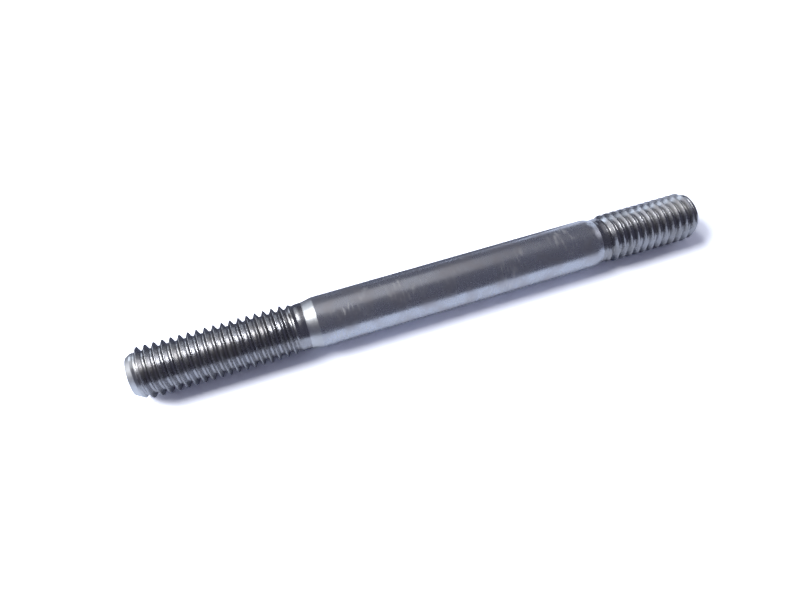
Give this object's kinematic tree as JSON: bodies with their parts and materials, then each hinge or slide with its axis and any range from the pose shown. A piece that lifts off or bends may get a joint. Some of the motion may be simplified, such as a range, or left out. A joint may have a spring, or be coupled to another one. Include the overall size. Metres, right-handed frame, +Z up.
{
  "type": "stud bolt",
  "caption": "Double-end steel stud bolt with coarse right-hand thread on both ends, a longer nut end, a shorter tap end and a smooth full shank between two cones.",
  "frame": {"origin": "below the middle of the stud, on the surface that it lies on", "axes": "+X along the stud from the nut end to the tap end, +Z up"},
  "size_m": [0.0918, 0.0078, 0.0079],
  "materials": {
    "steel": "bare steel: bright rolled threads, dull satin shank with fine turning and handling marks"
  },
  "bodies": {
    "root": {"stud": "steel"}
  },
  "joints": []
}
